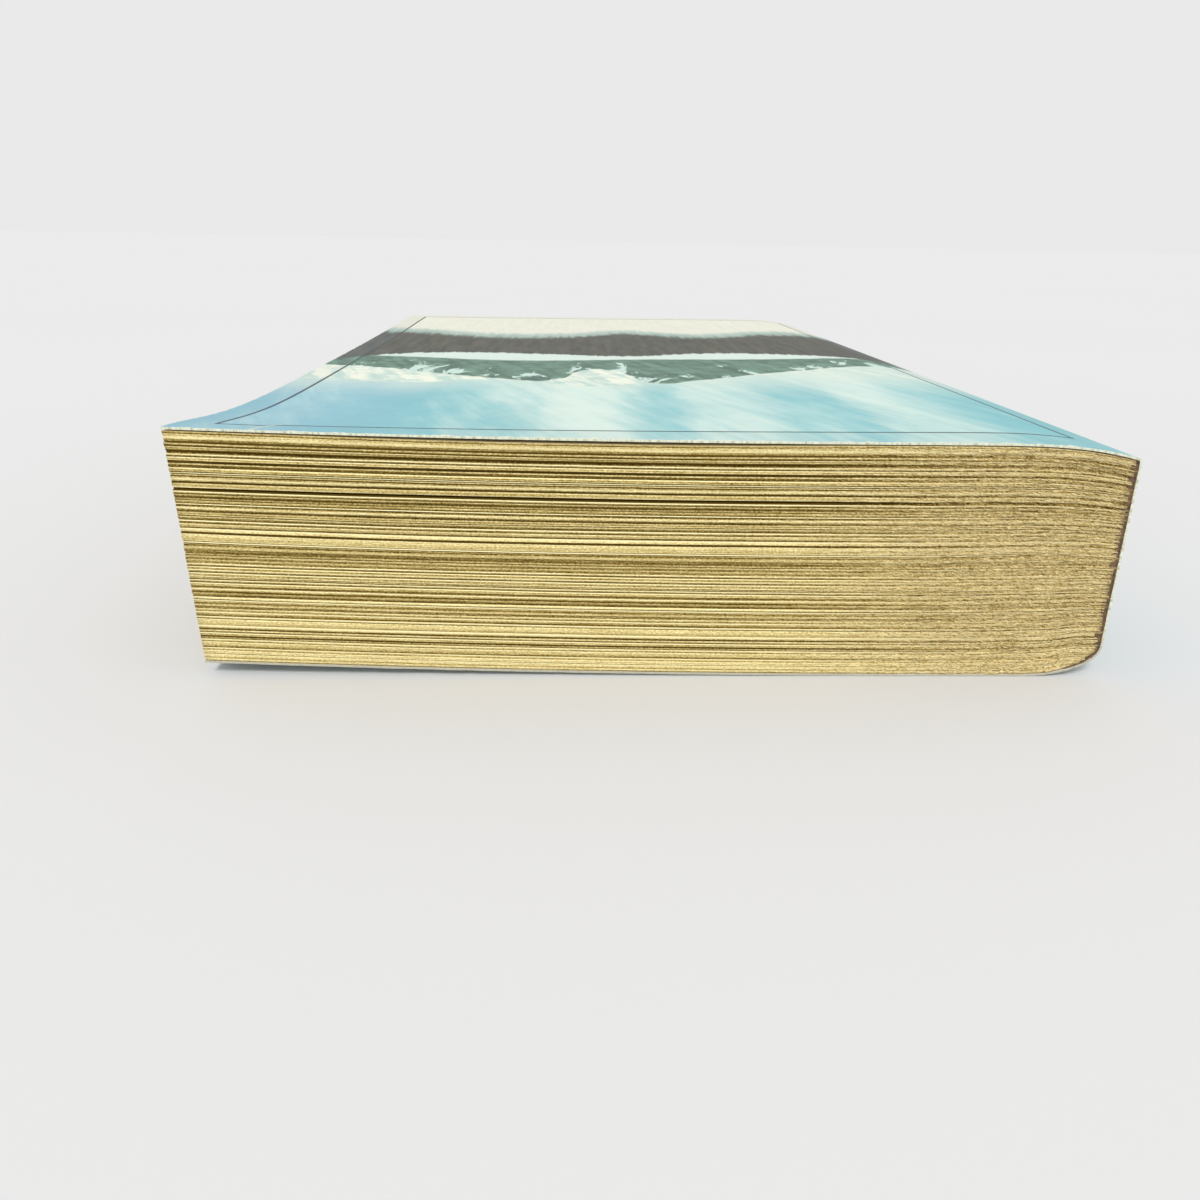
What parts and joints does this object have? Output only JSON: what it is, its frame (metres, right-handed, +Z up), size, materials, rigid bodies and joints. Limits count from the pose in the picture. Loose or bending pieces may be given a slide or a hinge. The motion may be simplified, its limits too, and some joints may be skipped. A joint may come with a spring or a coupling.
{
  "type": "paperback book",
  "caption": "Thick glued paperback book lying closed on its back cover, with a worn card cover whose front and back panels swing open at creases beside the spine.",
  "frame": {"origin": "under the middle of the closed book, on the surface that its back cover lies on", "axes": "+X from the fore-edge to the spine, +Y from the head to the tail of the pages, +Z up out of the front cover"},
  "size_m": [0.1345, 0.2094, 0.0366],
  "materials": {
    "pages": "matte",
    "glue": "satin",
    "cover_card": "satin"
  },
  "bodies": {
    "book_block": {"text_block": "pages", "binding_glue": "glue", "cover_spine": "cover_card"},
    "front_cover": {"front_cover": "cover_card"},
    "back_cover": {"back_cover": "cover_card"}
  },
  "joints": [
    {"name": "front_cover_hinge", "type": "hinge", "parent": "book_block", "child": "front_cover", "pos_m": [0.05982, 0, 0.03493], "axis": [0, 1, 0], "range_deg": [0, 175], "stiffness_Nm_per_rad": 0.02},
    {"name": "back_cover_hinge", "type": "hinge", "parent": "book_block", "child": "back_cover", "pos_m": [0.06079, 0, 0.00049], "axis": [0, -1, 0], "range_deg": [0, 175], "stiffness_Nm_per_rad": 0.02}
  ]
}
